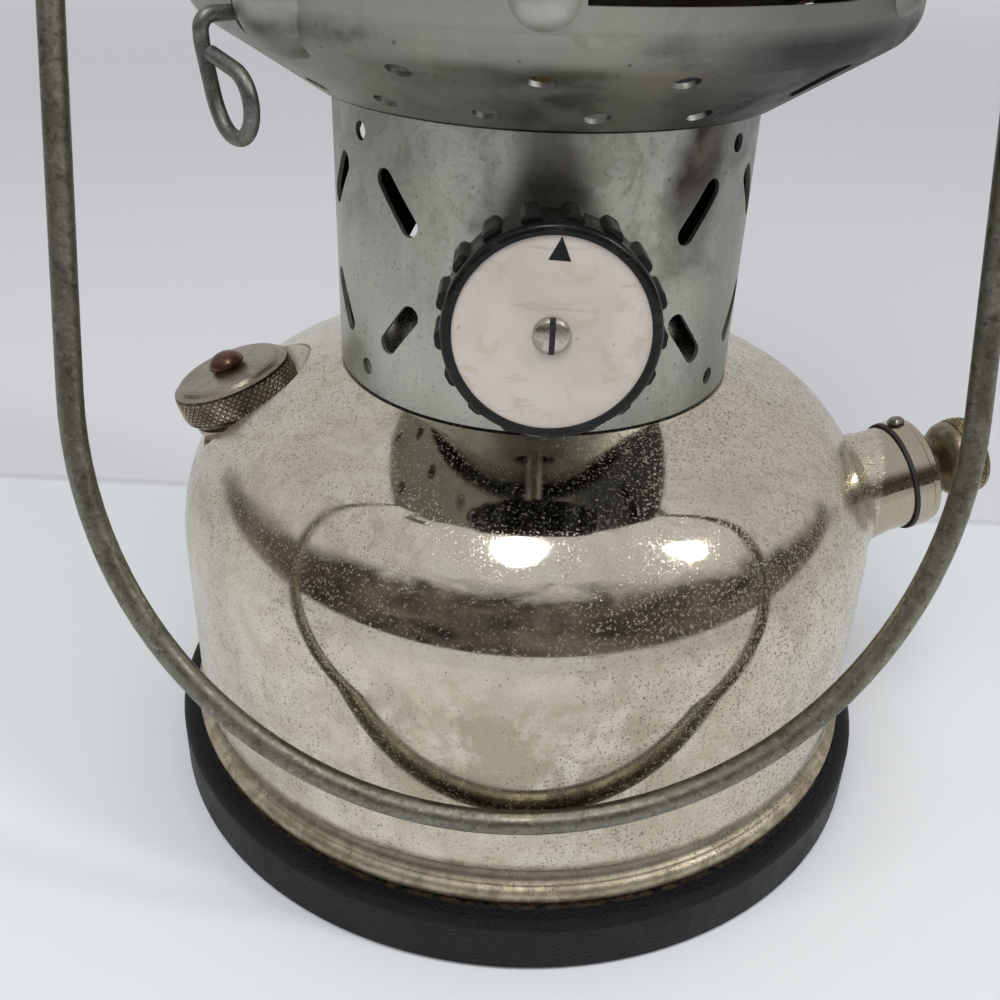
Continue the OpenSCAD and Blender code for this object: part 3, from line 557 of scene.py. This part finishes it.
def dish_wear_and_shade(p, tone):
    """A paler wall, painted shade round the right side, a painted shadow at the foot, painted light on the
    rims in the holes and a burnt inside.
    """
    z = p.axis("Z")
    wall = p.between(z, DISH_WALL_Z)
    outward = p.facing(0.0)
    tone = p.lay(tone, wall, 0.7, (0.55, 0.55, 0.49))
    # Painted shade round the right side, weaker on the wall
    tone = p.lay(tone, p.right_of(*DISH_RIGHT), p.span(wall, 0.0, 1.0, 0.94, 0.5), (0.05, 0.05, 0.05))
    # Painted shadow along the dish's foot, where it meets the collar
    tone = p.mix(p.between(z, DISH_FOOT_Z), tone, JOINT_SHADE_AND_DIRT)
    # Painted light on the rims in the holes
    rim = p.times(p.span(outward, 0.05, 0.2), p.span(p.facing(math.pi / 2), 0.2, 0.4))
    tone = p.lay(tone, rim, p.span(wall, 1.0, 0.0), (0.95, 0.93, 0.86))
    return p.lay(tone, p.span(outward, -0.05, -0.4), 0.85, (0.055, 0.036, 0.024))


def wire_wear(p, tone):
    """Fine pale rubs and dark grime on the wires."""
    tone = p.lay(tone, p.blotches(0.54, 0.60, 900, 5, 0.75, 0.4), 0.45, (0.42, 0.41, 0.36))
    return p.lay(tone, p.blotches(0.53, 0.60, 620, 5, 0.75, 0.4), 0.5, (0.07, 0.06, 0.045))


def plain_metal(name, tint, dull, stain, amount=0.4, scale=120):
    """Bare or rusted metal with blotches and a fine grain."""
    p = Paint(name)
    blot = p.blotches(0.46, 0.60, scale, 6, 0.65, 0.5)
    grain = p.noise(scale * 9, 3, 0.6)
    tone = p.mix(grain, toned(tint, 0.85), tint)
    tone = p.lay(tone, blot, amount, stain)
    rough = p.plus(p.times(blot, 0.22), dull)
    rough = p.plus(rough, p.times(grain, 0.08), clamp=True)
    p.bump(grain, 0.06 * MM, 0.35)
    return p.set(tone, rough, 1.0)


def knurled(name, tint, groove):
    """Worn metal that is bright on the knurl's ridges and dark in its grooves."""
    p = Paint(name)
    ridge = p.span(p.attribute("ridge"), 0.05, 0.7)
    worn = p.plus(ridge, p.span(p.noise(500, 4, 0.6), 0.3, 0.7, -0.2, 0.2), clamp=True)
    return p.set(p.mix(worn, groove, tint), p.span(worn, 0.0, 1.0, 0.5, 0.24), 1.0)


def rubber(name):
    """Black pebbled rubber, dusty, with brown grime where the fount sits in it."""
    p = Paint(name)
    hide, _ = p.cells(1500)
    pebble = p.plus(p.noise(2000, 3, 0.6, 0.6), p.times(hide, 0.6))
    dust = p.times(p.blotches(0.46, 0.62, 60, 6, 0.7), 0.35)
    seam = p.times(p.between(p.radius(), RING_SEAM_R), p.between(p.axis("Z"), RING_SEAM_Z))
    grime = p.times(seam, p.blotches(0.4, 0.6, 420, 5, 0.7))
    tone = p.mix(dust, (0.006, 0.006, 0.0085), (0.020, 0.020, 0.022))
    tone = p.mix(grime, tone, (0.10, 0.07, 0.035))
    p.bump(pebble, 0.6 * MM, 0.7)
    return p.set(tone, p.span(dust, 0.0, 0.4, 0.45, 0.65), 0.0, Specular_IOR_Level=0.2)


def black_plastic(name):
    """Black moulded plastic with dust and faint scratches."""
    p = Paint(name)
    dust = p.times(p.blotches(0.51, 0.64, 200, 6, 0.7), 0.4)
    scratch = p.blotches(0.58, 0.66, 700, 3, 0.6, vector=p.stretched((0.2, 1.0, 1.0)))
    tone = p.mix(dust, (0.005, 0.005, 0.005), (0.026, 0.025, 0.021))
    tone = p.lay(tone, scratch, 0.2, (0.06, 0.06, 0.055))
    p.bump(p.noise(1500, 2), 0.04 * MM, 0.4)
    return p.set(tone, p.plus(p.times(dust, 0.5), 0.22), 0.0, Specular_IOR_Level=0.25)


def white_disc(name):
    """Yellowed white paint with ochre stains, scratches and flecks."""
    p = Paint(name)
    yellowed = p.blotches(0.42, 0.62, 60, 5, 0.6, 0.5)
    ochre = p.blotches(0.575, 0.63, 190, 5, 0.65, 0.4)
    scratch = p.blotches(0.60, 0.64, 420, 4, 0.6, vector=p.stretched((0.15, 1.0, 1.0)))
    tone = p.mix(yellowed, (0.555, 0.50, 0.455), (0.49, 0.435, 0.385))
    tone = p.lay(tone, ochre, 0.35, (0.42, 0.33, 0.20))
    tone = p.lay(tone, scratch, 0.3, (0.30, 0.26, 0.23))
    tone = p.lay(tone, p.specks(500, 0.2, 0.12), 0.5, (0.24, 0.20, 0.17))
    return p.set(tone, p.span(yellowed, 0.0, 1.0, 0.32, 0.5), 0.0)


def screw_metal(name):
    """Steel screws: painted shade and dirt in the knob screw's slot, and dark ones at the pump."""
    p = Paint(name)
    blot = p.blotches(0.45, 0.60, 500, 5, 0.65, 0.5)
    tone = p.lay((0.52, 0.49, 0.43), blot, 0.4, (0.25, 0.20, 0.15))
    lean = math.radians(KNOB_TILT)
    rise = p.times(p.minus(p.axis("Z"), KNOB_ROOT_Z * MM), math.sin(lean))
    along = p.minus(rise, p.times(p.axis("Y"), math.cos(lean)))
    slot = p.times(p.strip(along, SLOT_ALONG), p.strip(p.axis("X"), SLOT_ACROSS))
    # Painted shade and dirt in the slot
    tone = p.mix(slot, tone, JOINT_SHADE_AND_DIRT)
    tone = p.lay(tone, p.between(p.axis("X"), PUMP_SIDE_X), 0.75, (0.07, 0.065, 0.055))
    return p.set(tone, p.plus(p.times(blot, 0.2), 0.26), p.span(slot, 0.0, 1.0, 1.0, 0.0))


def seal(name):
    """Worn black seal."""
    p = Paint(name)
    worn = p.noise(300, 5, 0.6)
    p.bump(worn, 0.1 * MM, 0.5)
    return p.set(p.mix(worn, (0.008, 0.008, 0.008), (0.035, 0.03, 0.026)), 0.6, 0.0)


def leather(name):
    """Oiled brown leather."""
    p = Paint(name)
    grain, _ = p.cells(1100)
    oil = p.noise(90, 5, 0.6)
    p.bump(grain, 0.2 * MM, 0.6)
    return p.set(p.mix(oil, (0.16, 0.08, 0.04), (0.28, 0.16, 0.09)), 0.55, 0.0)


def glass(name):
    """Clear glass with faint smears."""
    p = Paint(name)
    smear = p.blotches(0.45, 0.75, 35, 5, 0.6)
    return p.set((0.97, 0.99, 0.985), p.times(smear, 0.035), 0.0, Transmission_Weight=1.0, IOR=1.47)


def ash(name):
    """Burnt-in mantle: chalky white ash with the net of its knit."""
    p = Paint(name)
    net, _ = p.cells(1300)
    soot = p.blotches(0.5, 0.85, 80, 5, 0.6)
    tone = p.lay((0.82, 0.80, 0.74), net, 0.4, (0.62, 0.60, 0.54))
    tone = p.lay(tone, soot, 0.3, (0.45, 0.41, 0.35))
    p.bump(net, 0.4 * MM, 0.7)
    return p.set(tone, 0.9, 0.0)


paints = {
    "rubber": rubber("rubber_old"),
    "nickel": nickel("nickel_plate", (0.73, 0.67, 0.56), 0.06, (0.53, 0.46, 0.345)),
    "nickel_bottom": nickel("nickel_dull", (0.58, 0.53, 0.45), 0.22, (0.40, 0.35, 0.27)),
    "nickel_worn": nickel("nickel_knurl", (0.37, 0.33, 0.26), 0.20, (0.22, 0.185, 0.13), 0.6),
    "rust_brown": plain_metal("rust_brown", (0.17, 0.085, 0.06), 0.24, (0.07, 0.04, 0.03), 0.6, 300),
    "brass": plain_metal("brass_dull", (0.58, 0.44, 0.21), 0.3, (0.30, 0.20, 0.09)),
    "generator_brass": plain_metal("brass_burnt", (0.42, 0.30, 0.16), 0.35, (0.16, 0.10, 0.08), 0.7, 60),
    "seal_black": seal("seal_black"),
    "screw_steel": screw_metal("screw_steel"),
    "rod_steel": plain_metal("rod_steel", (0.40, 0.38, 0.34), 0.3, (0.20, 0.17, 0.13)),
    "leather": leather("leather_oiled"),
    "pump_knob_worn": plain_metal("knob_worn", (0.29, 0.235, 0.165), 0.3, (0.13, 0.095, 0.06), 0.6, 200),
    "knob_black": black_plastic("plastic_black"),
    "disc_white": white_disc("disc_white"),
    "zinc": zinc("zinc_sheet", (0.46, 0.47, 0.42), 0.34, (0.14, 0.125, 0.10), 0.25, collar_wear_and_shade, 0.75),
    "zinc_dish": zinc("zinc_stained_and_shaded", (0.31, 0.312, 0.28), 0.46, (0.10, 0.088, 0.07), 0.35, dish_wear_and_shade),
    "zinc_hood": zinc("zinc_hood", (0.36, 0.375, 0.35), 0.30, (0.12, 0.105, 0.085), 0.3),
    "cast_grey": plain_metal("cast_burnt", (0.32, 0.30, 0.27), 0.5, (0.14, 0.11, 0.09), 0.6),
    "mantle_white": ash("mantle_ash"),
    "glass_clear": glass("globe_glass"),
    "wire_dark": zinc("zinc_wire", (0.222, 0.214, 0.175), 0.40, (0.085, 0.075, 0.06), 0.3, wire_wear),
    "wire_lever": zinc("zinc_lever", (0.20, 0.20, 0.19), 0.40, (0.08, 0.07, 0.06), 0.3, wire_wear),
}
for entry in frame["record"]["subparts"]:
    for place in frame["nodes"][entry["node"]].material_slots:
        place.material = paints[entry["material_slot"]]

# Knurled bands
knurl("filler_knurl", filler_matrix(), CAP_R, CAP_LOW, CAP_TOP, starts=54, depth=0.5,
      material=knurled("knurl_nickel", (0.62, 0.54, 0.41), (0.045, 0.033, 0.022)),
      body="filler_shell", slot="nickel_worn")
knurl("pump_knurl", pump_matrix(), PUMP_KNOB_R, *PUMP_KNOB_BAND, starts=40, depth=0.42,
      material=knurled("knurl_worn", (0.50, 0.40, 0.22), (0.08, 0.055, 0.03)),
      body="plunger", slot="pump_knob_worn")


# Pointer on the disc, in millimetres and degrees
POINTER_LIFT = 0.05
POINTER_TURN = -2.9
POINTER_TIP = DISC_R - 0.15
POINTER_FOOT = DISC_R - 4.2
POINTER_HALF = 1.9


def pointer():
    """A plain triangle near the top of the disc."""
    place = knob_matrix() @ Matrix.Rotation(math.radians(POINTER_TURN), 4, "Z")
    flat = [(0, POINTER_TIP), (-POINTER_HALF, POINTER_FOOT), (POINTER_HALF, POINTER_FOOT)]
    verts = [(x, y, DISC_FACE + h) for h in (0.0, POINTER_LIFT) for x, y in flat]
    verts = [place @ (Vector(v) * MM) for v in verts]
    faces = [(0, 1, 2), (3, 4, 5), (0, 1, 4, 3), (1, 2, 5, 4), (2, 0, 3, 5)]
    make("pointer_mark", verts, faces, paints["knob_black"], "valve", smooth=False)


pointer()


# Mantles: depths in millimetres, and places as shares of the length from the neck down
MANTLE_WIDEST = 0.42
MANTLE_ROUNDNESS = 2.6
MANTLE_WALL = 0.6
MANTLE_SLACK = 0.4
MANTLE_CLEAR = 0.05
PLEATS = 16
PLEAT_DEPTH = 0.45
PLEAT_END = 0.35
CREASES = 3
CREASE_DEPTH = 0.35
CREASE_TWIST = 5
PHASE_RANGE = 6.28


def mantle_radius(t):
    """Radius of the smooth bag, which swells from its neck and closes at its foot."""
    if t < MANTLE_WIDEST:
        swell = (1 - math.cos(math.pi * t / MANTLE_WIDEST)) / 2
        return MANTLE_NECK_R + (MANTLE_R - MANTLE_NECK_R) * swell
    fall = (t - MANTLE_WIDEST) / (1 - MANTLE_WIDEST)
    return MANTLE_R * math.sqrt(max(0.0, 1 - fall ** MANTLE_ROUNDNESS))


def mantle(name, x):
    """A pleated and creased bag in place of one of the plain mantles."""
    rings, columns = 46, 96
    phase = random.Random(name).random() * PHASE_RANGE
    verts, faces = [], []
    for j in range(rings + 1):
        t = j / rings
        z = MANTLE_TOP + (MANTLE_LOW - MANTLE_TOP) * t
        for i in range(columns):
            a = 2 * math.pi * i / columns
            pleat = PLEAT_DEPTH * math.cos(PLEATS * a + phase) * max(0.0, 1 - t / PLEAT_END)
            crease = CREASE_DEPTH * math.sin(CREASES * a + phase + CREASE_TWIST * t) * math.sin(math.pi * t)
            r = mantle_radius(t) + pleat + crease - MANTLE_SLACK
            r = max(MANTLE_CLEAR, min(r, MANTLE_R - MANTLE_CLEAR))
            verts.append(Vector((x + r * math.cos(a), r * math.sin(a), z)) * MM)
    for j in range(rings):
        for i in range(columns):
            k = (i + 1) % columns
            faces.append((j * columns + i, j * columns + k, (j + 1) * columns + k, (j + 1) * columns + i))
    faces.append(tuple(range(rings * columns, (rings + 1) * columns)))
    piece = make(name, verts, faces, paints["mantle_white"], "base")
    wall = piece.modifiers.new("wall", "SOLIDIFY")
    wall.thickness = MANTLE_WALL * MM
    wall.offset = -1
    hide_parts("mantles")


mantle("mantle_left", -MANTLE_X)
mantle("mantle_right", MANTLE_X)

# Studio, in metres and degrees
FLOOR_HALF = 3.0
FLOOR_EDGE_SLANT = 0.042
FLOOR_EDGE = (0.105, 0.108)
FLOOR_CREASE_SHADE = (0.1085, 0.0008, 0.002)
FAR_MIRRORED = (0.35, 0.9)
FAR_SEEN = (0.6, 1.8)
SCREEN_AWAY = 1.1
SCREEN_STEPS = 44
SCREEN_TURNS = (-118, 112)
SCREEN_LOW = 0.15
SCREEN_EYE = 0.09
SCREEN_SIDE_RISE = 16
SCREEN_FRONT_RISE = 32
SCREEN_FALL = 0.85
SKY_COLOUR = (0.955, 0.972, 1.0)
SKY_STRENGTH = 0.49
CAMERA_AT = (-0.0113, -0.2463, 0.2094)
CAMERA_FORWARD = (0.0171, 0.8607, -0.5088)
CAMERA_UP = (-0.0268, 0.5091, 0.8603)
CAMERA_SENSOR = 36.0
CAMERA_LENS = 41.13


def stage_piece(name, verts, faces, material):
    """A mesh of the studio, which isn't part of the lantern."""
    mesh = bpy.data.meshes.new(name)
    mesh.from_pydata(verts, [], faces)
    mesh.materials.append(material)
    piece = bpy.data.objects.new(name, mesh)
    bpy.context.scene.collection.objects.link(piece)
    return piece


def floor():
    """A pale floor with a painted line of shade along its edge behind the lantern, which turns into the
    backdrop far away.
    """
    p = Paint("floor_pale")
    depth = p.plus(p.axis("Y"), p.times(p.axis("X"), FLOOR_EDGE_SLANT))
    tone = p.mix(p.noise(1.5, 3), (0.75, 0.768, 0.785), (0.785, 0.80, 0.815))
    tone = p.mix(p.span(depth, *FLOOR_EDGE), tone, (0.685, 0.69, 0.71))
    # Painted shade along the edge, as in a crease where floor meets backdrop
    tone = p.lay(tone, p.band(depth, *FLOOR_CREASE_SHADE), 0.4, (0.50, 0.505, 0.52))
    p.set(tone, 0.55, 0.0)
    far = p.tree.nodes.new("ShaderNodeEmission")
    path = p.tree.nodes.new("ShaderNodeLightPath")
    blend = p.tree.nodes.new("ShaderNodeMixShader")
    mirrored = path.outputs["Is Glossy Ray"]
    direct = p.most(path.outputs["Is Camera Ray"], path.outputs["Is Transmission Ray"])
    distant = p.most(p.times(mirrored, p.span(p.radius(), *FAR_MIRRORED)),
                     p.times(direct, p.span(p.radius(), *FAR_SEEN)))
    p.link(p.mix(mirrored, BACKDROP_SEEN, BACKDROP), far.inputs["Color"])
    p.link(distant, blend.inputs["Fac"])
    p.link(p.shader.outputs["BSDF"], blend.inputs[1])
    p.link(far.outputs["Emission"], blend.inputs[2])
    p.link(blend.outputs["Shader"], p.tree.nodes["Material Output"].inputs["Surface"])
    corners = [(-1, -1), (1, -1), (1, 1), (-1, 1)]
    verts = [(x * FLOOR_HALF, y * FLOOR_HALF, 0) for x, y in corners]
    stage_piece("floor", verts, [(0, 1, 2, 3)], p.material)


def screen():
    """A dark curved screen round the front, fading out upwards, seen only in the plated metal."""
    p = Paint("screen_dark")
    mottle = p.blotches(0.36, 0.64, 2.6, 5, 0.62, 0.6)
    level = p.plus(p.attribute("height"), p.span(p.noise(3.2, 5, 0.65, 0.5), 0.25, 0.75, -0.3, 0.3))
    p.set(p.mix(mottle, (0.012, 0.011, 0.011), (0.21, 0.18, 0.15)), 0.9, 0.0, Alpha=p.span(level, 1.0, 0.62))
    first, last = SCREEN_TURNS
    verts, faces, heights = [], [], []
    for k in range(SCREEN_STEPS + 1):
        turn = first + (last - first) * k / SCREEN_STEPS
        a = math.radians(turn)
        front = math.cos(math.radians(min(90.0, abs(turn) * SCREEN_FALL)))
        rise = math.radians(SCREEN_SIDE_RISE + SCREEN_FRONT_RISE * max(0.0, front))
        for z in (SCREEN_LOW, SCREEN_EYE + SCREEN_AWAY * math.tan(rise)):
            verts.append((SCREEN_AWAY * math.sin(a), -SCREEN_AWAY * math.cos(a), z))
        heights += [0.0, 1.0]
        if k:
            faces.append((2 * k - 2, 2 * k, 2 * k + 1, 2 * k - 1))
    piece = stage_piece("screen", verts, faces, p.material)
    piece.data.attributes.new("height", "FLOAT", "POINT").data.foreach_set("value", heights)
    piece.visible_camera = False
    piece.visible_diffuse = False
    piece.visible_transmission = False
    piece.visible_shadow = False


def lamp(name, at, to, size, watts, mirrored=True):
    """An oval area lamp, which the metal mirrors or not."""
    data = bpy.data.lights.new(name, "AREA")
    data.shape = "ELLIPSE"
    data.size, data.size_y = size
    data.energy = watts
    piece = bpy.data.objects.new(name, data)
    bpy.context.scene.collection.objects.link(piece)
    piece.location = at
    piece.rotation_euler = (Vector(to) - Vector(at)).to_track_quat("-Z", "Y").to_euler()
    piece.visible_glossy = mirrored


def world():
    """Soft light from all round, which looks like the backdrop to the camera, through glass and in metal."""
    scene = bpy.context.scene
    scene.world = bpy.data.worlds.new("studio")
    scene.world.use_nodes = True
    tree = scene.world.node_tree
    path = tree.nodes.new("ShaderNodeLightPath")
    light = tree.nodes["Background"]
    light.inputs["Color"].default_value = (*SKY_COLOUR, 1)
    light.inputs["Strength"].default_value = SKY_STRENGTH
    above = light.outputs[0]
    looks = {"Is Camera Ray": BACKDROP_SEEN, "Is Transmission Ray": BACKDROP_SEEN, "Is Glossy Ray": BACKDROP}
    for ray, colour in looks.items():
        seen = tree.nodes.new("ShaderNodeBackground")
        seen.inputs["Color"].default_value = (*colour, 1)
        blend = tree.nodes.new("ShaderNodeMixShader")
        tree.links.new(path.outputs[ray], blend.inputs["Fac"])
        tree.links.new(above, blend.inputs[1])
        tree.links.new(seen.outputs[0], blend.inputs[2])
        above = blend.outputs[0]
    tree.links.new(above, tree.nodes["World Output"].inputs["Surface"])
    scene.view_settings.view_transform = "Standard"


def camera():
    """The photograph's camera, as fitted to the round edges in it."""
    data = bpy.data.cameras.new("camera")
    data.sensor_width = CAMERA_SENSOR
    data.lens = CAMERA_LENS
    data.clip_start = 0.01
    piece = bpy.data.objects.new("camera", data)
    bpy.context.scene.collection.objects.link(piece)
    forward = Vector(CAMERA_FORWARD).normalized()
    right = forward.cross(Vector(CAMERA_UP)).normalized()
    up = right.cross(forward)
    turn = Matrix((right, up, -forward)).transposed().to_4x4()
    piece.matrix_world = Matrix.Translation(CAMERA_AT) @ turn
    bpy.context.scene.camera = piece


floor()
screen()
lamp("key", at=(-0.35, -0.8, 1.35), to=(0, 0, 0.1), size=(0.9, 0.9), watts=8, mirrored=False)
lamp("fill", at=(0.92, -0.38, 1.1), to=(0, 0, 0.1), size=(0.2, 0.32), watts=4)
lamp("top_front", at=(-0.04, -0.44, 1.23), to=(0, 0, 0.05), size=(0.28, 0.55), watts=3.5)
world()
camera()
